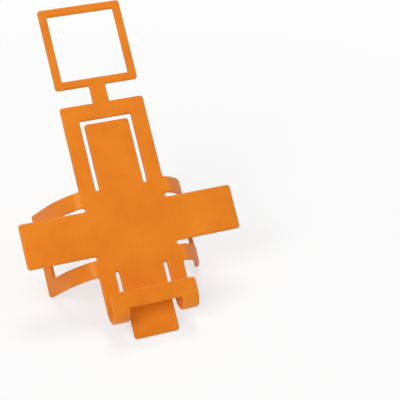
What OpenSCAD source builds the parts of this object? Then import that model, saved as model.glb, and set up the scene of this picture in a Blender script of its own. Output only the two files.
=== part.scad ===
// Desk stand for a phone, bent from one moulded sheet of soft plastic.
// The flat sheet is a cross of four equal arms with a square hanging loop on a neck.
// A slot runs round the inside of each arm and leaves a tongue in a U-shaped frame.
// To stand, the side frames are bent back as legs and the lower frame is bent up in front as a hook.

/* [Sheet] */
// Thickness of the sheet
sheet_t = 2.5; // [2:0.1:3.2]
// Rounding along the rims of the sheet
rim_r = 0.8; // [0.4:0.1:0.9]
// Radius of the outer corners, seen from the front
corner_r = 1.6; // [1:0.1:2.2]

/* [Cross] */
// Width of each arm, and side of the square in the middle
arm_w = 49; // [44:0.5:54]
// Length of each arm, from the square to its end
arm_l = 49; // [46:0.5:56]
// Width of the two strips of a frame
strip_w = 9.4; // [7:0.1:11]
// Width of the bar at the end of a frame
bar_w = 9.4; // [8:0.1:11]
// Width of the slot between a tongue and its frame
slot_w = 2.2; // [1.6:0.1:3]

/* [Hanging loop] */
// Length of the neck between the upper arm and the loop
neck_l = 10.3; // [6:0.1:16]
// Width of the neck
neck_w = 9.4; // [7:0.1:14]
// Outer side of the square loop
loop_w = 48.4; // [40:0.2:56]
// Width of the bars of the loop
loop_bar = 4.6; // [4.4:0.1:7]

/* [Legs] */
// Inner radius of the bend where a leg leaves the square
knee_r = 3; // [2:0.5:8]
// Angle of that bend
knee_a = 47; // [35:1:55]
// Inner radius of the slow curve that follows
calf_r = 48; // [35:1:60]
// Angle between the end of a leg and the back of the sheet
leg_a = 75; // [68:1:82]

/* [Hook] */
// Straight stretch of the lower frame, from the square to the hook
hook_drop = 19.5; // [15:0.5:22]
// Inner radius of the hook, which takes the lower edge of a phone
hook_r = 5.7; // [5:0.1:6.5]

/* [Hidden] */
$fn = 96;
colour = "#E0802C";

tongue_w = arm_w - 2 * (strip_w + slot_w);
tongue_l = arm_l - bar_w - slot_w;
tongue_tip = arm_w / 2 + tongue_l;
// Length of the rounded end of a strap
tip_l = corner_r + rim_r;
// How far a straight strap runs into what carries it
seat = 2;
// A bend reaches this far into the runs on either side of it
lap = 0.1;
// and is drawn in by this much, so that its ends lie inside them
relief = 0.01;
// How far the section in hand is drawn in
$drawn_in = 0;

// A path is a list of straight runs [length] and of bends [radius, angle], along the middle of the sheet
knee_m = knee_r + sheet_t / 2;
calf_m = calf_r + sheet_t / 2;
hook_m = hook_r + sheet_t / 2;
leg_path = to_length([[knee_m, knee_a], [calf_m, leg_a - knee_a]], arm_l);
hook_path = to_length([[hook_drop], [hook_m, 180]], arm_l);

function is_run(step) = len(step) == 1;
function step_l(step) = is_run(step) ? step[0] : step[0] * step[1] * PI / 180;
function path_l(path, i = 0) = i == len(path) ? 0 : step_l(path[i]) + path_l(path, i + 1);
// Adds the straight run that brings a path to a length
function to_length(path, length) = concat(path, [[length - path_l(path)]]);
// A step shortened to a length
function shortened(step, length) = is_run(step) ? [length] : [step[0], step[1] * length / step_l(step)];
// The stretch of a path between two lengths along it
function stretch(path, from, to, i = 0, done = 0) =
    i == len(path) ? [] :
    let (
        next = done + step_l(path[i]),
        length = min(to, next) - max(from, done)
    )
    concat(length > lap ? [shortened(path[i], length)] : [], stretch(path, from, to, i + 1, next));
// How deep a path ends behind its start
function depth(path, i = 0, turned = 0) =
    i == len(path) ? 0 :
    is_run(path[i]) ? path[i][0] * sin(turned) + depth(path, i + 1, turned) :
    let (next = turned + path[i][1])
    path[i][0] * (cos(turned) - cos(next)) + depth(path, i + 1, next);

// How far the lower tongue and a leg reach down, when the sheet leans back from upright by an angle
leg_depth = sheet_t / 2 + depth(stretch(leg_path, 0, arm_l - corner_r));
function tongue_drop(a) = (tongue_tip - rim_r) * cos(a) + (sheet_t - rim_r) * sin(a) + rim_r;
function leg_drop(a) =
    (arm_w / 2 - corner_r) * cos(a) + leg_depth * sin(a)
    + corner_r * norm([cos(a), sin(a) * sin(leg_a)])
    + sheet_t / 2 * sin(a) * cos(leg_a);
// The lean at which the tongue and both legs stand on the table, found by halving
function settled(low, high, rounds = 30) =
    let (a = (low + high) / 2)
    rounds == 0 ? a :
    leg_drop(a) < tongue_drop(a) ? settled(a, high, rounds - 1) : settled(low, a, rounds - 1);
lean = settled(20, 70);

// How far the leaning sheet reaches to the rear and to the front
loop_top = arm_w / 2 + arm_l + neck_l + loop_w;
rear = (loop_top - rim_r) * sin(lean) + (sheet_t - rim_r) * cos(lean) + rim_r;
hook_front = (arm_w / 2 + hook_drop) * sin(lean) + hook_r * cos(lean) + hook_r + sheet_t;
tongue_front = (tongue_tip - rim_r) * sin(lean) - rim_r * cos(lean) + rim_r;
front = max(hook_front, tongue_front);

// Section through a strap, thickness by width, with rounded rims
module section(width) {
    t = sheet_t - 2 * $drawn_in;
    w = width - 2 * $drawn_in;
    square([t - 2 * rim_r, w], center = true);
    square([t, w - 2 * rim_r], center = true);
    for (x = [-1, 1], y = [-1, 1])
        translate([x * (t / 2 - rim_r), y * (w / 2 - rim_r)])
            circle(r = rim_r);
}

// Section through the two strips of a frame
module strips_section() {
    for (y = [-1, 1])
        translate([0, y * (arm_w - strip_w) / 2])
            section(strip_w);
}

// Turns a section towards -X, about a line along Y
module bend(radius, angle) {
    lap_a = lap / radius * 180 / PI;
    translate([-radius, 0, 0])
        rotate([90, 0, 0])
            rotate_extrude(start = -lap_a, angle = angle + 2 * lap_a)
                translate([radius, 0])
                    children();
}

// Carries the first child, a section, along a path from step i on, and sets the second child at its end
module along(path, i = 0) {
    if (i == len(path)) {
        children(1);
    } else if (is_run(path[i])) {
        linear_extrude(path[i][0])
            children(0);
        translate([0, 0, path[i][0]])
            along(path, i + 1) {
                children(0);
                children(1);
            }
    } else {
        bend(path[i][0], path[i][1])
            let ($drawn_in = relief * (i + 1))
                children(0);
        translate([-path[i][0], 0, 0])
            rotate([0, -path[i][1], 0])
                translate([path[i][0], 0, 0])
                    along(path, i + 1) {
                        children(0);
                        children(1);
                    }
    }
}

// Outline of the end of a strap, with its corners rounded
module tip_outline(width) {
    translate([0, -width / 2])
        square([tip_l - corner_r, width]);
    translate([0, -width / 2 + corner_r])
        square([tip_l, width - 2 * corner_r]);
    for (y = [-1, 1])
        translate([tip_l - corner_r, y * (width / 2 - corner_r)])
            circle(r = corner_r);
}

// Free end of a strap, with rounded rims and corners
module tip(width) {
    intersection() {
        linear_extrude(tip_l)
            section(width);
        rotate([90, 0, 0])
            linear_extrude(width, center = true)
                section(2 * tip_l);
        translate([-sheet_t / 2, 0, 0])
            rotate([0, 90, 0])
                mirror([1, 0])
                    linear_extrude(sheet_t)
                        tip_outline(width);
    }
}

// Strap along a path, with a free end
module strap(path, width) {
    along(stretch(path, 0, path_l(path) - tip_l)) {
        section(width);
        tip(width);
    }
}

// U-shaped frame of an arm: two strips, and the bar that joins their ends
module frame(path) {
    along(stretch(path, 0, path_l(path) - bar_w)) {
        strips_section();
        strap(stretch(path, path_l(path) - bar_w, path_l(path)), arm_w);
    }
}

// Sets a strap on the side of the square that lies at an angle, to run or bend to the front or to the back
module at_side(angle, back = false) {
    rotate([0, 0, angle])
        translate([arm_w / 2, 0, -sheet_t / 2])
            rotate([0, 90, 0])
                rotate([0, 0, back ? 180 : 0])
                    children();
}

// Starts a straight strap inside what carries it
module seated() {
    translate([0, 0, -seat])
        children();
}

module tongue() {
    seated()
        strap([[seat + tongue_l]], tongue_w);
}

// Square in the middle, with the rounded ends of the slots
module middle() {
    difference() {
        translate([-arm_w / 2, -arm_w / 2, -sheet_t])
            cube([arm_w, arm_w, sheet_t]);
        for (angle = [0:90:270], side = [-1, 1])
            rotate([0, 0, angle])
                translate([arm_w / 2, side * (tongue_w + slot_w) / 2, -sheet_t - 1])
                    cylinder(d = slot_w, h = sheet_t + 2);
    }
}

module leg(angle) {
    at_side(angle, back = true)
        frame(leg_path);
}

module hook() {
    at_side(270)
        seated()
            frame(concat([[seat]], hook_path));
}

module upper_frame() {
    at_side(90)
        seated()
            frame([[seat + arm_l]]);
}

// One side of the loop, mitred at both ends, with the middle of the loop at the origin
module loop_side() {
    half = loop_w / 2;
    intersection() {
        translate([0, (loop_w - loop_bar) / 2, -half])
            linear_extrude(loop_w)
                section(loop_bar);
        rotate([0, 90, 0])
            linear_extrude(sheet_t, center = true)
                polygon([[0, 0], [half, half], [-half, half]]);
    }
}

// Outline of the loop, with its outer corners rounded
module loop_outline() {
    inner = loop_w - 2 * corner_r;
    square([loop_w, inner], center = true);
    square([inner, loop_w], center = true);
    for (x = [-1, 1], y = [-1, 1])
        translate([x * inner / 2, y * inner / 2])
            circle(r = corner_r);
}

// Square loop on its neck
module loop() {
    at_side(90) {
        translate([0, 0, arm_l - seat])
            linear_extrude(neck_l + 2 * seat)
                section(neck_w);
        translate([0, 0, arm_l + neck_l + loop_w / 2])
            intersection() {
                for (side = [0:90:270])
                    rotate([side, 0, 0])
                        loop_side();
                rotate([0, 90, 0])
                    linear_extrude(sheet_t, center = true)
                        loop_outline();
            }
    }
}

// The bent sheet, its front on the XY plane and the middle of the square at the origin
module sheet() {
    middle();
    for (angle = [0:90:270])
        at_side(angle)
            tongue();
    leg(0);
    leg(180);
    hook();
    upper_frame();
    loop();
}

// The stand on the table, with the front to -Y and the origin under the middle of its outline
module holder() {
    color(colour)
        translate([0, (front - rear) / 2, tongue_drop(lean)])
            rotate([90 - lean, 0, 0])
                sheet();
}

holder();
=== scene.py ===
"""A phone holder bent from one moulded sheet of orange plastic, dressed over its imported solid."""

import bisect
import math

import bmesh
import bpy
from bpy.props import FloatProperty, FloatVectorProperty, IntProperty, PointerProperty
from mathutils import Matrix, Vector, geometry


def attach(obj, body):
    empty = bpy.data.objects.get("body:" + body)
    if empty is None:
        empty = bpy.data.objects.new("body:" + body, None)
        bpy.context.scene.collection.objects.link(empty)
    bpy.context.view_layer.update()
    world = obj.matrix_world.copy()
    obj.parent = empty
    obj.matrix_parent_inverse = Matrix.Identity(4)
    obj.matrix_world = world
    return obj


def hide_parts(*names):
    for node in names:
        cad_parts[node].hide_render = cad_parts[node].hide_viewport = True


bl_info = {
    "name": "Bent sheet phone holder",
    "version": (1, 0, 0),
    "blender": (4, 5, 0),
    "location": "3D View > Sidebar > Holder",
    "description": "Builds a phone holder that is moulded flat and bent to stand on a table",
    "category": "Object",
}

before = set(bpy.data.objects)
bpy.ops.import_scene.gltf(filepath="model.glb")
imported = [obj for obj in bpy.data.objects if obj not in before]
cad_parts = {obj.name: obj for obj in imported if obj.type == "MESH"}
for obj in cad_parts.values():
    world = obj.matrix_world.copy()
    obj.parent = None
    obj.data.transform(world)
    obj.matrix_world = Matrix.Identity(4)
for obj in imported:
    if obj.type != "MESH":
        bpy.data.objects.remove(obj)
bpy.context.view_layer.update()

# Limbs of the sheet, as the "limb" attribute of its mesh numbers them
FLAT, LEG, HOOK = 0, 1, 2
# How far beside an arm a point may lie and still bend with it, for the rounded corners between two arms
LIMB_MARGIN = 0.01

# Steps round a corner of an outline, across the tight bend of a leg and round the hook
CORNER_STEPS, KNEE_STEPS, HOOK_STEPS = 6, 10, 36
# Spacing of the lines across the slow curve of a leg
CALF_SPACING = 0.0015
# The flat face starts this many rim radii inside the outline
FACE_INSET = 1.5
# How fast the "rim" attribute grows round the rim, towards 1
RIM_GAIN = 1.3
# Points closer than these are one point of an outline, of a cut and of the finished mesh
SAME_POINT, ON_CUT, MERGED = 1e-6, 2e-6, 1e-5
# Part of a step that is left to rounding when a length is divided into steps
STEP_SLACK = 1e-6

# Radius of the solid's outer corners, two of which touch the table
SOLID_CORNER = 0.0016
# The lean is looked for between these angles, by halving them this many times
LEAN_RANGE, HALVINGS = (math.radians(20), math.radians(70)), 40
# Length of the last run of a path, longer than any limb
TO_THE_END = 1.0
# Waves of the sway along a metre of the sheet
SWAY_WAVES = 22.0
# How far before and after each end of a bend its strain comes up or dies away
KNEE_STARTS, KNEE_ENDS, CALF_ENDS = (0.001, 0.0008), (0.0008, 0.001), (0.004, 0.003)
HOOK_STARTS, HOOK_ENDS = (0.001, 0.002), (0.002, 0.001)
# Share of the strain of a leg that ends with its tight bend; the rest ends with its slow curve
KNEE_SHARE = 0.85
# How much a large face outweighs a small one in the smooth normals
FACE_WEIGHT = 80

# Marks along a metre of the plastic: soft clouds, blotches, rubbed patches, specks and the skin's ripple
CLOUDS, BLOTCHES, RUBBED, SPECKS, SKIN = 38.0, 150.0, 70.0, 190.0, 620.0
# The same for marks that are drawn out along one side of the flat sheet
STREAKS, CREASES = (60.0, 260.0, 60.0), (500.0, 90.0, 500.0)
# Levels of its noise at which a rubbed patch begins and is full
RUBBED_FROM, RUBBED_FULL = 0.55, 0.72
# Radius of a speck, as a share of the spacing of specks, and the share of places that have none
SPECK_CORE, SPECK_EDGE, SPECK_FREE = 0.03, 0.07, 0.93
# Half width of the mould line, where it is full and where it has faded
MOULD_LINE_CORE, MOULD_LINE_EDGE = 0.00003, 0.00012
# How strongly the relief turns the light
RELIEF_STRENGTH = 0.35
# What is the same all over the plastic
PLASTIC = {
    "IOR": 1.45,
    "Specular IOR Level": 0.3,
    "Subsurface Weight": 0.05,
    "Subsurface Radius": (0.004, 0.0012, 0.0004),
    "Subsurface Scale": 0.6,
}

# Share of plain white in the floor that the camera sees, beside the holder and far from it
WHITE_NEAR, WHITE_FAR = 0.66, 1.0
# Distances from the holder between which that share grows
NEAR, FAR = 0.10, 0.55
# Clouds along a metre of the floor, and how much they change its tone
FLOOR_CLOUDS, FLOOR_CHANGE = 3.0, 0.01
FLOOR_ROUGHNESS = 0.8
# The floor is a disc with this many corners
FLOOR_RADIUS, FLOOR_CORNERS = 3.0, 96
# Lamps: name, place and diameter
LAMPS = (
    ("key", (-0.85, -0.75, 1.00), 0.8),
    ("top", (0.15, 0.30, 1.25), 0.6),
    ("fill", (0.95, -0.45, 0.75), 0.9),
)
# The point that the lamps are turned to
LAMP_AIM = Vector((0.0, 0.0, 0.06))
# Width of the camera's sensor, in millimetres, and the nearest that it sees
SENSOR_WIDTH, CLIP_START = 36.0, 0.01


# Sizes and colours

class HolderSizes(bpy.types.PropertyGroup):
    """Sizes of the sheet and of its bends."""

    thickness: FloatProperty(
        name="Thickness", description="Thickness of the sheet",
        default=0.0025, unit="LENGTH", precision=4)
    rim_radius: FloatProperty(
        name="Rim radius", description="Rounding along the rims of the sheet",
        default=0.0008, unit="LENGTH", precision=4)
    corner_radius: FloatProperty(
        name="Corner radius", description="Radius of the outer corners, seen from the front",
        default=0.0017, unit="LENGTH", precision=4)
    nook_radius: FloatProperty(
        name="Nook radius",
        description="Radius of the inner corners of slots, neck and loop, seen from the front",
        default=0.0007, unit="LENGTH", precision=4)
    fork_radius: FloatProperty(
        name="Fork radius", description="Radius of the inner corners between two arms, seen from the front",
        default=0.0014, unit="LENGTH", precision=4)
    arm_width: FloatProperty(
        name="Arm width", description="Width of each arm of the cross", default=0.049, unit="LENGTH")
    arm_length: FloatProperty(
        name="Arm length", description="Length of each arm, from the square in the middle to its end",
        default=0.049, unit="LENGTH")
    strip_width: FloatProperty(
        name="Strip width", description="Width of the two strips of a frame", default=0.0094, unit="LENGTH")
    bar_width: FloatProperty(
        name="Bar width", description="Width of the bar at the end of a frame",
        default=0.0094, unit="LENGTH")
    slot_width: FloatProperty(
        name="Slot width", description="Width of the slot between a tongue and its frame",
        default=0.0022, unit="LENGTH", precision=4)
    neck_length: FloatProperty(
        name="Neck length", description="Length of the neck that carries the loop",
        default=0.0103, unit="LENGTH")
    neck_width: FloatProperty(
        name="Neck width", description="Width of the neck that carries the loop",
        default=0.0094, unit="LENGTH")
    loop_side: FloatProperty(
        name="Loop side", description="Outer side of the square hanging loop", default=0.0484, unit="LENGTH")
    loop_bar: FloatProperty(
        name="Loop bar", description="Width of the bars of the loop", default=0.0046, unit="LENGTH")
    knee_radius: FloatProperty(
        name="Knee radius", description="Inner radius of the bend where a leg leaves the square",
        default=0.003, unit="LENGTH", precision=4)
    knee_angle: FloatProperty(
        name="Knee angle", description="Angle of that bend", default=math.radians(47), unit="ROTATION")
    calf_radius: FloatProperty(
        name="Calf radius", description="Inner radius of the slow curve that follows",
        default=0.048, unit="LENGTH")
    leg_angle: FloatProperty(
        name="Leg angle", description="Angle between the end of a leg and the back of the sheet",
        default=math.radians(75), unit="ROTATION")
    hook_drop: FloatProperty(
        name="Hook drop", description="Straight stretch between the square and the hook",
        default=0.0195, unit="LENGTH")
    hook_radius: FloatProperty(
        name="Hook radius", description="Inner radius of the hook",
        default=0.0057, unit="LENGTH", precision=4)
    sway: FloatProperty(
        name="Sway", description="How far the soft sheet strays from a true plane",
        default=0.0001, unit="LENGTH", precision=5)
    grid: FloatProperty(
        name="Grid", description="Spacing of the lines that divide the flat faces",
        default=0.003, unit="LENGTH")
    rim_steps: IntProperty(name="Rim steps", description="Faces across a rounded rim", default=4, min=2)


class HolderFinish(bpy.types.PropertyGroup):
    """Colours and texture of the moulded plastic."""

    colour: FloatVectorProperty(
        name="Colour", description="Orange of the plastic", subtype="COLOR", size=3,
        default=(0.790, 0.212, 0.0050))
    # The deep colour is painted shade on the inner face of each bend and along the rims, and also the
    # plastic's own darker clouds and blotches
    deep_and_painted_shade: FloatVectorProperty(
        name="Deep colour", description="Orange where the plastic is squeezed or lies in a fold",
        subtype="COLOR", size=3, default=(0.660, 0.150, 0.0030))
    # The pale colour is the plastic's own whitening where a bend stretches it and its paler clouds and
    # streaks, and also a painted highlight along the rims
    pale_and_rim_highlight: FloatVectorProperty(
        name="Pale colour", description="Orange along thin rims and where a bend stretches the plastic",
        subtype="COLOR", size=3, default=(0.890, 0.300, 0.0200))
    speck: FloatVectorProperty(
        name="Speck colour", description="Colour of the few light specks", subtype="COLOR", size=3,
        default=(0.80, 0.60, 0.42))
    roughness: FloatProperty(
        name="Roughness", description="Roughness of the matt skin",
        default=0.5, min=0, max=1, subtype="FACTOR")
    grain: FloatProperty(
        name="Grain", description="Width of a grain of the matt skin",
        default=0.00045, unit="LENGTH", precision=5)
    relief: FloatProperty(
        name="Relief", description="Depth of the grain and of the marks of moulding",
        default=0.00005, unit="LENGTH", precision=6)


class HolderStage(bpy.types.PropertyGroup):
    """Camera, floor and lamps."""

    camera_place: FloatVectorProperty(
        name="Camera place", description="Where the camera stands", subtype="TRANSLATION", unit="LENGTH",
        default=(-0.18120, -0.61472, 0.42237))
    camera_turn: FloatVectorProperty(
        name="Camera turn", description="How the camera is turned", subtype="EULER",
        default=(math.radians(59.824), math.radians(0.344), math.radians(-20.792)))
    lens: FloatProperty(
        name="Lens", description="Focal length in millimetres", default=116.72, unit="CAMERA")
    floor_colour: FloatVectorProperty(
        name="Floor colour", description="Colour of the plain floor", subtype="COLOR", size=3,
        default=(0.95, 0.95, 0.95))
    sky: FloatProperty(name="Sky", description="Strength of the even light all round", default=0.3, min=0)
    key: FloatProperty(
        name="Key", description="Power of the large soft lamp on the left", default=10.5, unit="POWER")
    top: FloatProperty(
        name="Top", description="Power of the soft lamp overhead", default=5.4, unit="POWER")
    fill: FloatProperty(
        name="Fill", description="Power of the soft lamp on the right", default=1.8, unit="POWER")


# Nodes written as sums

class Field:
    """An output socket that works in Python sums; each sum adds its Math node."""

    def __init__(self, nodes, socket):
        self.nodes = nodes
        self.socket = socket

    def math(self, operation, *others):
        return self.nodes.math(operation, self, *others)

    def __add__(self, other):
        return self.math("ADD", other)

    def __radd__(self, other):
        return self.nodes.math("ADD", other, self)

    def __sub__(self, other):
        return self.math("SUBTRACT", other)

    def __rsub__(self, other):
        return self.nodes.math("SUBTRACT", other, self)

    def __mul__(self, other):
        return self.math("MULTIPLY", other)

    def __rmul__(self, other):
        return self.nodes.math("MULTIPLY", other, self)

    def __truediv__(self, other):
        return self.math("DIVIDE", other)

    def __rtruediv__(self, other):
        return self.nodes.math("DIVIDE", other, self)

    def __neg__(self):
        return self.nodes.math("SUBTRACT", 0.0, self)

    def __gt__(self, other):
        return self.math("GREATER_THAN", other)

    def __lt__(self, other):
        return self.math("LESS_THAN", other)

    def clamped(self, low, high):
        return self.math("MAXIMUM", low).math("MINIMUM", high)


class Nodes:
    """Adds nodes to one tree."""

    def __init__(self, tree):
        self.tree = tree

    def add(self, kind, settings=None, values=None, output=0):
        """A node of a kind, its settings set before its sockets; gives one output, or the node for None."""
        node = self.tree.nodes.new(kind)
        for name, value in (settings or {}).items():
            setattr(node, name, value)
        for name, value in (values or {}).items():
            socket = self.find(node.inputs, name)
            if isinstance(value, Field):
                self.tree.links.new(value.socket, socket)
            else:
                socket.default_value = value
        if output is None:
            return node
        return self.output(node, output)

    def output(self, node, name):
        return Field(self, self.find(node.outputs, name))

    @staticmethod
    def find(sockets, name):
        """A socket by its place or its identifier, or else by its name."""
        if isinstance(name, int):
            return sockets[name]
        for socket in sockets:
            if socket.identifier == name:
                return socket
        return sockets[name]

    def math(self, operation, *values):
        return self.add("ShaderNodeMath", {"operation": operation}, dict(enumerate(values)))

    def split(self, vector):
        node = self.add("ShaderNodeSeparateXYZ", values={0: vector}, output=None)
        return [self.output(node, axis) for axis in range(3)]

    def join(self, x, y, z):
        return self.add("ShaderNodeCombineXYZ", values={0: x, 1: y, 2: z})

    def smooth(self, value, low, high):
        """0 below low, 1 above high, smooth in between."""
        return self.add(
            "ShaderNodeMapRange", {"interpolation_type": "SMOOTHSTEP"},
            {"Value": value, "From Min": low, "From Max": high})

    def rise(self, value, place, before, after):
        """From 0 to 1 round a place, starting a length before it and ending a length after it."""
        return self.smooth(value, place - before, place + after)

    def seen(self):
        """1 for a ray from the camera or from a glossy or clear surface, 0 for any other."""
        ray = self.add("ShaderNodeLightPath", output=None)
        kinds = (self.output(ray, "Is Camera Ray") + self.output(ray, "Is Glossy Ray")
                 + self.output(ray, "Is Transmission Ray"))
        return kinds.clamped(0.0, 1.0)

    def mix_colour(self, share, a, b, blend="MIX"):
        return self.add(
            "ShaderNodeMix", {"data_type": "RGBA", "blend_type": blend},
            {"Factor_Float": share, "A_Color": a, "B_Color": b}, "Result_Color")


def new_material(name):
    """An empty material, and what adds its nodes."""
    material = bpy.data.materials.new(name)
    material.use_nodes = True
    material.node_tree.nodes.clear()
    return material, Nodes(material.node_tree)


# The flat sheet

def rounded(corners):
    """A closed line through corners (x, y, radius), as points with their normals to the left."""
    line = []
    count = len(corners)
    for i, (x, y, radius) in enumerate(corners):
        here = Vector((x, y))
        before = (here - Vector(corners[i - 1][:2])).normalized()
        after = (Vector(corners[(i + 1) % count][:2]) - here).normalized()
        turn = 1 if before.cross(after) > 0 else -1
        left = Vector((-before.y, before.x))
        centre = here - before * radius + left * turn * radius
        for k in range(CORNER_STEPS + 1):
            angle = turn * math.pi / 2 * k / CORNER_STEPS
            normal = Vector((left.x * math.cos(angle) - left.y * math.sin(angle),
                             left.x * math.sin(angle) + left.y * math.cos(angle)))
            point = centre - normal * turn * radius
            if not line or (point - line[-1][0]).length > SAME_POINT:
                line.append((point, normal))
    if (line[0][0] - line[-1][0]).length < SAME_POINT:
        line.pop()
    return line


def turned(corners, quarter):
    """Corners turned about the origin by quarter turns."""
    for _ in range(quarter):
        corners = [(-y, x, radius) for x, y, radius in corners]
    return corners


def sheet_lines(sizes):
    """The outline of the flat sheet and the lines of its openings, all with the sheet on their left."""
    half = sizes.arm_width / 2
    end = half + sizes.arm_length
    out, nook, fork = sizes.corner_radius, sizes.nook_radius, sizes.fork_radius
    neck = sizes.neck_width / 2
    loop = sizes.loop_side / 2
    foot = end + sizes.neck_length
    top = foot + sizes.loop_side
    right = [
        (half, -end, out), (half, -half, fork), (end, -half, out), (end, half, out), (half, half, fork),
        (half, end, out), (neck, end, nook), (neck, foot, nook), (loop, foot, out), (loop, top, out),
    ]
    outline = right + [(-x, y, radius) for x, y, radius in reversed(right)]

    wide = half - sizes.strip_width
    narrow = wide - sizes.slot_width
    far = end - sizes.bar_width
    tip = far - sizes.slot_width
    cap = sizes.slot_width / 2
    near = half - cap
    slot = [
        (near, -narrow, cap), (tip, -narrow, out), (tip, narrow, out), (near, narrow, cap),
        (near, wide, cap), (far, wide, nook), (far, -wide, nook), (near, -wide, cap),
    ]
    hole = loop - sizes.loop_bar
    window = [
        (-hole, foot + sizes.loop_bar, nook), (-hole, top - sizes.loop_bar, nook),
        (hole, top - sizes.loop_bar, nook), (hole, foot + sizes.loop_bar, nook),
    ]
    return [rounded(outline), rounded(window)] + [rounded(turned(slot, quarter)) for quarter in range(4)]


def rim_profile(sizes):
    """Steps (inset, height, rim) from the front face round the rim to the back face."""
    radius, count = sizes.rim_radius, sizes.rim_steps
    front = [(radius * FACE_INSET, 0.0, 0.0)]
    for k in range(count + 1):
        angle = math.pi / 2 * (1 - k / count)
        share = min(1.0, RIM_GAIN * k / count)
        front.append((radius * (1 - math.cos(angle)), -radius * (1 - math.sin(angle)), share))
    back = [(inset, -sizes.thickness - height, share) for inset, height, share in reversed(front)]
    return front + back


def add_rim(mesh, line, profile, rim):
    """Faces round the rim along one line of the sheet; gives their first and last ring of points."""
    rings = []
    for inset, height, share in profile:
        ring = []
        for point, normal in line:
            place = point + normal * inset
            vertex = mesh.verts.new((place.x, place.y, height))
            vertex[rim] = share
            ring.append(vertex)
        rings.append(ring)
    count = len(line)
    for upper, lower in zip(rings, rings[1:]):
        for i in range(count):
            j = (i + 1) % count
            mesh.faces.new((upper[j], upper[i], lower[i], lower[j]))
    return rings[0], rings[-1]


def fill_face(mesh, rings, filling, side):
    """Triangles that fill the flat face between rings of points; side is 1 in front and -1 at the back."""
    flat = [vertex for ring in rings for vertex in ring]
    for a, b, c in geometry.tessellate_polygon([[vertex.co for vertex in ring] for ring in rings]):
        corners = (flat[a], flat[b], flat[c])
        level = (corners[1].co - corners[0].co).cross(corners[2].co - corners[0].co).z
        if (level < 0) != (side < 0):
            corners = corners[::-1]
        mesh.faces.new(corners)[filling] = side


def spread(low, high, step):
    """Even places from low to high, at most a step apart."""
    count = max(1, math.ceil((high - low) / step - STEP_SLACK))
    return [low + (high - low) * k / count for k in range(count + 1)]


def station_lines(sizes):
    """Where the flat faces are divided across and along: closely in the bends, on a grid elsewhere."""
    half = sizes.arm_width / 2
    end = half + sizes.arm_length
    top = end + sizes.neck_length + sizes.loop_side
    knee = (sizes.knee_radius + sizes.thickness / 2) * sizes.knee_angle
    calf = (sizes.calf_radius + sizes.thickness / 2) * (sizes.leg_angle - sizes.knee_angle)
    hook = (sizes.hook_radius + sizes.thickness / 2) * math.pi
    start = half + sizes.hook_drop
    side = (spread(half, half + knee, knee / KNEE_STEPS)
            + spread(half + knee, half + knee + calf, CALF_SPACING)
            + spread(half + knee + calf, end, sizes.grid))
    down = spread(start, start + hook, hook / HOOK_STEPS) + spread(start + hook, end, sizes.grid)
    across = sorted(set(spread(-half, half, sizes.grid) + side + [-x for x in side]))
    along = sorted(set([-y for y in down] + spread(-start, top, sizes.grid)))
    return across, along


def connected(faces):
    """Splits faces into patches that hang together by their edges."""
    left = dict.fromkeys(faces)
    while left:
        patch = [left.popitem()[0]]
        for face in patch:
            for edge in face.edges:
                for other in edge.link_faces:
                    if other in left:
                        del left[other]
                        patch.append(other)
        yield patch


def join_cells(mesh, filling, sizes):
    """Makes one face of the triangles that fill one cell between the station lines, on either side."""
    across, along = station_lines(sizes)
    cells = {}
    for face in mesh.faces:
        if face[filling]:
            middle = face.calc_center_median()
            cell = (face[filling], bisect.bisect(across, middle.x), bisect.bisect(along, middle.y))
            cells.setdefault(cell, []).append(face)
    for faces in cells.values():
        for patch in connected(faces):
            if len(patch) > 1:
                bmesh.utils.face_join(patch)
    loose = [vertex for vertex in mesh.verts if len(vertex.link_edges) == 2]
    bmesh.ops.dissolve_verts(mesh, verts=loose)
    bmesh.ops.remove_doubles(mesh, verts=mesh.verts[:], dist=MERGED)


def build_flat_mesh(sizes):
    """The flat sheet, its front on z = 0, as a bmesh with the "rim" attribute that its finish reads."""
    mesh = bmesh.new()
    rim = mesh.verts.layers.float.new("rim")
    filling = mesh.faces.layers.int.new("filling")
    profile = rim_profile(sizes)
    fronts, backs = zip(*[add_rim(mesh, line, profile, rim) for line in sheet_lines(sizes)])
    fill_face(mesh, fronts, filling, 1)
    fill_face(mesh, backs, filling, -1)
    for axis, places in enumerate(station_lines(sizes)):
        for place in places:
            point, normal = [0.0, 0.0, 0.0], [0.0, 0.0, 0.0]
            point[axis], normal[axis] = place, 1.0
            bmesh.ops.bisect_plane(
                mesh, geom=mesh.verts[:] + mesh.edges[:] + mesh.faces[:],
                dist=ON_CUT, plane_co=point, plane_no=normal)
    join_cells(mesh, filling, sizes)
    mesh.faces.layers.int.remove(filling)
    bmesh.ops.recalc_face_normals(mesh, faces=mesh.faces[:])
    return mesh


def limb_of(place, sizes):
    """Which limb of the sheet a point of the flat sheet belongs to."""
    half = sizes.arm_width / 2
    slot = half - sizes.strip_width - sizes.slot_width / 2
    reach = half + sizes.arm_length - sizes.bar_width - sizes.slot_width / 2
    x, y = abs(place.x), abs(place.y)
    if x > half and y < half + LIMB_MARGIN and (y > slot or x > reach):
        return LEG
    if place.y < -half and x <= half and (x > slot or y > reach):
        return HOOK
    return FLAT


# The bends

def path_point(nodes, way, steps):
    """How far out and how far aside a path has gone after a way along it, and how far it has turned.

    Its steps are ("run", length) and ("bend", radius, angle)."""
    out, aside, turn = 0.0, 0.0, 0.0
    done = 0.0
    for step in steps:
        if step[0] == "run":
            length = (way - done).clamped(0.0, step[1])
            out = out + length * nodes.math("COSINE", turn)
            aside = aside + length * nodes.math("SINE", turn)
            done = done + step[1]
        else:
            radius, angle = step[1:]
            bent = ((way - done) / radius).clamped(0.0, angle)
            after = bent + turn
            out = out + radius * (nodes.math("SINE", after) - nodes.math("SINE", turn))
            aside = aside + radius * (nodes.math("COSINE", turn) - nodes.math("COSINE", after))
            turn = after
            done = done + radius * angle
    return out, aside, turn


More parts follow.
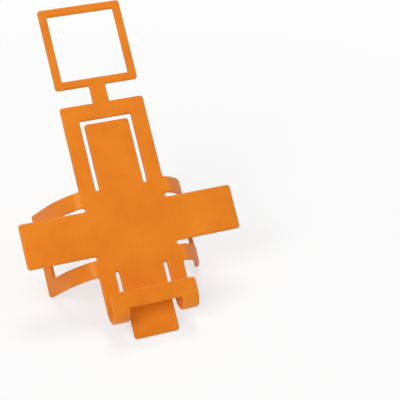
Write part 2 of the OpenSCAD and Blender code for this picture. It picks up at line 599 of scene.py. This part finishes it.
def bend_leg(nodes, value, x, height):
    """Where a point of a leg lies across and in front, and how much the bends stretch its front."""
    half_thickness = value["Thickness"] / 2
    way = nodes.math("ABSOLUTE", x) - value["Half arm"]
    knee = value["Knee radius"] + half_thickness
    calf = value["Calf radius"] + half_thickness
    out, aside, turn = path_point(nodes, way, [
        ("bend", knee, value["Knee angle"]), ("bend", calf, value["Calf angle"]), ("run", TO_THE_END)])
    across = nodes.math("SIGN", x) * (value["Half arm"] + out + height * nodes.math("SINE", turn))
    front = height * nodes.math("COSINE", turn) - aside - half_thickness
    knee_end = knee * value["Knee angle"]
    calf_end = knee_end + calf * value["Calf angle"]
    strain = (nodes.rise(way, 0.0, *KNEE_STARTS)
              - nodes.rise(way, knee_end, *KNEE_ENDS) * KNEE_SHARE
              - nodes.rise(way, calf_end, *CALF_ENDS) * (1 - KNEE_SHARE))
    return across, front, strain


def bend_hook(nodes, value, y, height):
    """Where a point of the hook lies along and in front, and how much the bend squeezes its front."""
    half_thickness = value["Thickness"] / 2
    way = -y - value["Half arm"]
    radius = value["Hook radius"] + half_thickness
    out, aside, turn = path_point(nodes, way, [
        ("run", value["Hook drop"]), ("bend", radius, math.pi), ("run", TO_THE_END)])
    along = -(value["Half arm"] + out - height * nodes.math("SINE", turn))
    front = height * nodes.math("COSINE", turn) + aside - half_thickness
    strain = (nodes.rise(way, value["Hook drop"], *HOOK_STARTS)
              - nodes.rise(way, value["Hook drop"] + radius * math.pi, *HOOK_ENDS))
    return along, front, strain


def build_bend_tree():
    """Nodes that sway the flat sheet a little, bend its legs and its hook and lean it on the table."""
    tree = bpy.data.node_groups.new("bend the sheet", "GeometryNodeTree")
    tree.interface.new_socket("Sheet", in_out="INPUT", socket_type="NodeSocketGeometry")
    names = ("Thickness", "Half arm", "Knee radius", "Knee angle", "Calf radius", "Calf angle",
             "Hook drop", "Hook radius", "Sway", "Lean", "Shift", "Lift")
    for name in names:
        tree.interface.new_socket(name, in_out="INPUT", socket_type="NodeSocketFloat")
    tree.interface.new_socket("Finish", in_out="INPUT", socket_type="NodeSocketMaterial")
    tree.interface.new_socket("Sheet", in_out="OUTPUT", socket_type="NodeSocketGeometry")
    nodes = Nodes(tree)
    given = nodes.add("NodeGroupInput", output=None)
    value = {name: nodes.output(given, name) for name in names}
    half_thickness = value["Thickness"] / 2

    position = nodes.add("GeometryNodeInputPosition")
    x, y, z = nodes.split(position)
    limb = nodes.add("GeometryNodeInputNamedAttribute", {"data_type": "FLOAT"}, {"Name": "limb"})
    is_leg = (limb > LEG - 0.5) * (limb < LEG + 0.5)
    is_hook = limb > HOOK - 0.5
    is_flat = 1 - is_leg - is_hook

    drift = nodes.add(
        "ShaderNodeTexNoise", {"noise_dimensions": "3D"},
        {"Vector": nodes.join(x, y, 0.0), "Scale": SWAY_WAVES, "Detail": 1.0})
    height = z + half_thickness + (drift - 0.5) * 2 * value["Sway"]
    leg_x, leg_z, leg_strain = bend_leg(nodes, value, x, height)
    hook_y, hook_z, hook_strain = bend_hook(nodes, value, y, height)
    bent_x = leg_x * is_leg + x * (1 - is_leg)
    bent_y = hook_y * is_hook + y * (1 - is_hook)
    bent_z = leg_z * is_leg + hook_z * is_hook + (height - half_thickness) * is_flat
    lean_sin = nodes.math("SINE", value["Lean"])
    lean_cos = nodes.math("COSINE", value["Lean"])
    place = nodes.join(
        bent_x,
        bent_y * lean_sin - bent_z * lean_cos + value["Shift"],
        bent_y * lean_cos + bent_z * lean_sin + value["Lift"])

    # 1 on the front of the sheet and -1 on its back, which a bend strains the other way
    outer = height / half_thickness
    strain = is_leg * leg_strain * outer - is_hook * hook_strain * outer
    sheet = nodes.output(given, "Sheet")
    for name, kind, field in (("moulded", "FLOAT_VECTOR", position), ("strain", "FLOAT", strain)):
        sheet = nodes.add(
            "GeometryNodeStoreNamedAttribute", {"data_type": kind, "domain": "POINT"},
            {"Geometry": sheet, "Name": name, "Value": field})
    sheet = nodes.add("GeometryNodeSetPosition", values={"Geometry": sheet, "Position": place})
    sheet = nodes.add("GeometryNodeRealizeInstances", values={0: sheet})
    sheet = nodes.add(
        "GeometryNodeSetMaterial", values={"Geometry": sheet, "Material": nodes.output(given, "Finish")})
    nodes.add("NodeGroupOutput", values={0: sheet}, output=None)
    return tree


def resting_lean(sizes):
    """The lean at which the lower tongue and both legs touch the table, with the shift and the lift.

    The shift centres the outline over the origin, and the lift sets the tongue on the table."""
    t, rim = sizes.thickness, sizes.rim_radius
    half = sizes.arm_width / 2
    tip = half + sizes.arm_length - sizes.bar_width - sizes.slot_width
    knee = sizes.knee_radius + t / 2
    calf = sizes.calf_radius + t / 2
    straight = (sizes.arm_length - SOLID_CORNER - knee * sizes.knee_angle
                - calf * (sizes.leg_angle - sizes.knee_angle))
    depth = (t / 2 + knee * (1 - math.cos(sizes.knee_angle))
             + calf * (math.cos(sizes.knee_angle) - math.cos(sizes.leg_angle))
             + straight * math.sin(sizes.leg_angle))

    # How far the lower tongue and a leg reach down at a lean
    def tongue_drop(a):
        return (tip - rim) * math.cos(a) + (t - rim) * math.sin(a) + rim

    def leg_drop(a):
        return ((half - SOLID_CORNER) * math.cos(a) + depth * math.sin(a)
                + SOLID_CORNER * math.hypot(math.cos(a), math.sin(a) * math.sin(sizes.leg_angle))
                + t / 2 * math.sin(a) * math.cos(sizes.leg_angle))

    low, high = LEAN_RANGE
    for _ in range(HALVINGS):
        middle = (low + high) / 2
        low, high = (middle, high) if leg_drop(middle) < tongue_drop(middle) else (low, middle)
    lean = low
    top = half + sizes.arm_length + sizes.neck_length + sizes.loop_side
    rear = (top - rim) * math.sin(lean) + (t - rim) * math.cos(lean) + rim
    front = ((half + sizes.hook_drop) * math.sin(lean) + sizes.hook_radius * math.cos(lean)
             + sizes.hook_radius + t)
    return lean, (front - rear) / 2, tongue_drop(lean)


def bend_and_bake(obj, sizes, finish):
    """Bends the flat sheet with its nodes and turns the result into a plain mesh."""
    lean, shift, lift = resting_lean(sizes)
    values = {
        "Thickness": sizes.thickness, "Half arm": sizes.arm_width / 2,
        "Knee radius": sizes.knee_radius, "Knee angle": sizes.knee_angle,
        "Calf radius": sizes.calf_radius, "Calf angle": sizes.leg_angle - sizes.knee_angle,
        "Hook drop": sizes.hook_drop, "Hook radius": sizes.hook_radius,
        "Sway": sizes.sway, "Lean": lean, "Shift": shift, "Lift": lift, "Finish": finish,
    }
    modifier = obj.modifiers.new("bend", "NODES")
    modifier.node_group = build_bend_tree()
    for item in modifier.node_group.interface.items_tree:
        if item.item_type == "SOCKET" and item.in_out == "INPUT" and item.name in values:
            modifier[item.identifier] = values[item.name]
    normals = obj.modifiers.new("normals", "WEIGHTED_NORMAL")
    normals.mode = "FACE_AREA_WITH_ANGLE"
    normals.weight = FACE_WEIGHT
    bpy.context.view_layer.update()
    depsgraph = bpy.context.evaluated_depsgraph_get()
    baked = bpy.data.meshes.new_from_object(
        obj.evaluated_get(depsgraph), preserve_all_data_layers=True, depsgraph=depsgraph)
    flat = obj.data
    obj.modifiers.clear()
    obj.data = baked
    baked.name = obj.name
    bpy.data.meshes.remove(flat)


# Finish

def moulded_plastic(finish, sizes):
    """Matt orange plastic: a fine grained skin, flow marks, paler stretched bends, painted highlight and
    shade on the rims, painted shade inside bends, a mould line, specks.
    """
    material, nodes = new_material("moulded_orange_plastic")

    def attribute(name, output="Fac"):
        return nodes.add("ShaderNodeAttribute", {"attribute_name": name}, output=output)

    moulded = attribute("moulded", "Vector")
    rim = attribute("rim")
    strain = attribute("strain")
    height = nodes.split(moulded)[2]

    def noise(scale, detail=2.0, roughness=0.5, distortion=0.0, place=moulded):
        return nodes.add(
            "ShaderNodeTexNoise", {"noise_dimensions": "3D"},
            {"Vector": place, "Scale": scale, "Detail": detail, "Roughness": roughness,
             "Distortion": distortion}, "Fac")

    def drawn_out(scales, *texture):
        place = nodes.add("ShaderNodeMapping", values={"Vector": moulded, "Scale": scales})
        return noise(1.0, *texture, place=place)

    clouds = noise(CLOUDS, 2.0, 0.45)
    blotches = noise(BLOTCHES, 3.0, 0.6)
    streaks = drawn_out(STREAKS, 3.0, 0.55, 0.6)
    creases = drawn_out(CREASES, 3.0, 0.6)
    grain = noise(1.0 / finish.grain, 2.0, 0.6)
    skin = noise(SKIN, 2.0, 0.5)
    rubbed = nodes.smooth(noise(RUBBED, 3.0, 0.6, 0.4), RUBBED_FROM, RUBBED_FULL)
    cells = nodes.add(
        "ShaderNodeTexVoronoi", {"feature": "F1"}, {"Vector": moulded, "Scale": SPECKS}, output=None)
    from_speck = nodes.output(cells, "Distance")
    chance = nodes.split(nodes.output(cells, "Color"))[0]
    dust = (1 - nodes.smooth(from_speck, SPECK_CORE, SPECK_EDGE)) * (chance > SPECK_FREE)
    from_middle = nodes.math("ABSOLUTE", height + sizes.thickness / 2)
    mould_line = 1 - nodes.smooth(from_middle, MOULD_LINE_CORE, MOULD_LINE_EDGE)

    stretched = strain.clamped(0.0, 1.0)
    squeezed = (-strain).clamped(0.0, 1.0)
    # The weight of each mark in the sums below is given
    # Paler: a painted highlight along the rims, and the plastic's own tone where a bend stretches it and in
    # its clouds and streaks
    pale_and_rim_highlight = (rim * 0.3 + stretched * 0.3
            + (clouds - 0.5) * 1.2 + (streaks - 0.5) * 0.3).clamped(0.0, 1.0)
    # Deeper: painted shade on the inner face of each bend, where it is squeezed, and along the rims, and the
    # plastic's own tone in its clouds and blotches
    deep_and_painted_shade = (squeezed * 0.55 + rim * 0.15
            + (0.5 - clouds) * 1.4 + (0.5 - blotches) * 0.6).clamped(0.0, 1.0)
    tone = 1 + (grain - 0.5) * 0.10 + (skin - 0.5) * 0.06
    colour = nodes.mix_colour(pale_and_rim_highlight, (*finish.colour, 1), (*finish.pale_and_rim_highlight, 1))
    colour = nodes.mix_colour(deep_and_painted_shade, colour, (*finish.deep_and_painted_shade, 1))
    colour = nodes.mix_colour(1.0, colour, nodes.join(tone, tone, tone), "MULTIPLY")
    colour = nodes.mix_colour(dust * 0.35, colour, (*finish.speck, 1))

    roughness = (finish.roughness + (blotches - 0.5) * 0.10 + (grain - 0.5) * 0.14
                 - rubbed * 0.07 - stretched * 0.05 + squeezed * 0.04 + rim * 0.03)
    relief = (grain * 0.6 + skin * 0.6 + blotches * 1.6 + clouds * 3.0
              + mould_line * rim * 1.2 + squeezed * creases * 2.0 + dust * 0.6)
    bump = nodes.add(
        "ShaderNodeBump",
        values={"Strength": RELIEF_STRENGTH, "Distance": finish.relief, "Height": relief})
    shader = nodes.add(
        "ShaderNodeBsdfPrincipled",
        values={"Base Color": colour, "Roughness": roughness, "Normal": bump, **PLASTIC})
    nodes.add("ShaderNodeOutputMaterial", values={"Surface": shader}, output=None)
    return material


def pale_floor(stage):
    """Plain floor that the camera sees as nearly white, with the shadow kept."""
    material, nodes = new_material("pale_floor")
    place = nodes.add("ShaderNodeTexCoord", output="Object")
    clouds = nodes.add(
        "ShaderNodeTexNoise", values={"Vector": place, "Scale": FLOOR_CLOUDS, "Detail": 2.0}, output="Fac")
    tone = 1 + (clouds - 0.5) * FLOOR_CHANGE
    colour = nodes.mix_colour(1.0, (*stage.floor_colour, 1), nodes.join(tone, tone, tone), "MULTIPLY")
    plain = nodes.add(
        "ShaderNodeBsdfPrincipled", values={"Base Color": colour, "Roughness": FLOOR_ROUGHNESS})
    glow = nodes.add("ShaderNodeEmission", values={"Color": (1, 1, 1, 1), "Strength": 1.0})
    away = nodes.add("ShaderNodeVectorMath", {"operation": "LENGTH"}, {0: place}, "Value")
    white = WHITE_NEAR + nodes.smooth(away, NEAR, FAR) * (WHITE_FAR - WHITE_NEAR)
    surface = nodes.add("ShaderNodeMixShader", values={0: nodes.seen() * white, 1: plain, 2: glow})
    nodes.add("ShaderNodeOutputMaterial", values={"Surface": surface}, output=None)
    return material


# Operators

class HOLDER_OT_sheet(bpy.types.Operator):
    """Mould the flat sheet, bend its legs and its hook, and set it on the table"""

    bl_idname = "holder.sheet"
    bl_label = "Bent sheet"

    def execute(self, context):
        sizes = context.scene.holder_sizes
        mesh = build_flat_mesh(sizes)
        data = bpy.data.meshes.new("bent_sheet")
        mesh.to_mesh(data)
        mesh.free()
        limb = data.attributes.new("limb", "FLOAT", "POINT")
        limb.data.foreach_set("value", [float(limb_of(vertex.co, sizes)) for vertex in data.vertices])
        data.shade_smooth()
        obj = bpy.data.objects.new("bent_sheet", data)
        context.scene.collection.objects.link(obj)
        bend_and_bake(obj, sizes, moulded_plastic(context.scene.holder_finish, sizes))
        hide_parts("holder")
        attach(obj, "root")
        return {"FINISHED"}


class HOLDER_OT_stage(bpy.types.Operator):
    """Lay the floor and set up the camera, the lamps and the even light all round"""

    bl_idname = "holder.stage"
    bl_label = "Floor, camera and lamps"

    def execute(self, context):
        stage = context.scene.holder_stage
        self.lay_floor(context, stage)
        self.set_camera(context, stage)
        for name, place, diameter in LAMPS:
            self.hang_lamp(context, name, place, diameter, getattr(stage, name))
        self.set_sky(context, stage)
        context.scene.view_settings.view_transform = "Standard"
        return {"FINISHED"}

    @staticmethod
    def lay_floor(context, stage):
        disc = bmesh.new()
        bmesh.ops.create_circle(disc, cap_ends=True, radius=FLOOR_RADIUS, segments=FLOOR_CORNERS)
        data = bpy.data.meshes.new("floor")
        disc.to_mesh(data)
        disc.free()
        data.materials.append(pale_floor(stage))
        floor = bpy.data.objects.new("floor", data)
        context.scene.collection.objects.link(floor)

    @staticmethod
    def set_camera(context, stage):
        data = bpy.data.cameras.new("camera")
        data.lens = stage.lens
        data.sensor_width = SENSOR_WIDTH
        data.clip_start = CLIP_START
        camera = bpy.data.objects.new("camera", data)
        camera.location = stage.camera_place
        camera.rotation_euler = stage.camera_turn
        context.scene.collection.objects.link(camera)
        context.scene.camera = camera

    @staticmethod
    def hang_lamp(context, name, place, diameter, power):
        data = bpy.data.lights.new(name, "AREA")
        data.shape = "DISK"
        data.size = diameter
        data.energy = power
        lamp = bpy.data.objects.new(name, data)
        lamp.location = place
        lamp.rotation_euler = (LAMP_AIM - Vector(place)).to_track_quat("-Z", "Y").to_euler()
        context.scene.collection.objects.link(lamp)

    @staticmethod
    def set_sky(context, stage):
        world = bpy.data.worlds.new("sky")
        world.use_nodes = True
        world.node_tree.nodes.clear()
        nodes = Nodes(world.node_tree)
        even = nodes.add("ShaderNodeBackground", values={"Color": (1, 1, 1, 1), "Strength": stage.sky})
        white = nodes.add("ShaderNodeBackground", values={"Color": (1, 1, 1, 1), "Strength": 1.0})
        surface = nodes.add("ShaderNodeMixShader", values={0: nodes.seen(), 1: even, 2: white})
        nodes.add("ShaderNodeOutputWorld", values={"Surface": surface}, output=None)
        context.scene.world = world


class HOLDER_PT_panel(bpy.types.Panel):
    """Sizes, finish and stage of the holder"""

    bl_idname = "HOLDER_PT_panel"
    bl_label = "Phone holder"
    bl_space_type = "VIEW_3D"
    bl_region_type = "UI"
    bl_category = "Holder"

    def draw(self, context):
        for group, operator in (
                (context.scene.holder_sizes, None),
                (context.scene.holder_finish, HOLDER_OT_sheet.bl_idname),
                (context.scene.holder_stage, HOLDER_OT_stage.bl_idname)):
            box = self.layout.box()
            for name in type(group).__annotations__:
                box.prop(group, name)
            if operator:
                box.operator(operator)


CLASSES = (HolderSizes, HolderFinish, HolderStage, HOLDER_OT_sheet, HOLDER_OT_stage, HOLDER_PT_panel)


def register():
    for cls in CLASSES:
        bpy.utils.register_class(cls)
    bpy.types.Scene.holder_sizes = PointerProperty(type=HolderSizes)
    bpy.types.Scene.holder_finish = PointerProperty(type=HolderFinish)
    bpy.types.Scene.holder_stage = PointerProperty(type=HolderStage)


def unregister():
    del bpy.types.Scene.holder_stage
    del bpy.types.Scene.holder_finish
    del bpy.types.Scene.holder_sizes
    for cls in reversed(CLASSES):
        bpy.utils.unregister_class(cls)


def main():
    register()
    bpy.ops.holder.sheet()
    bpy.ops.holder.stage()


if __name__ == "__main__":
    main()
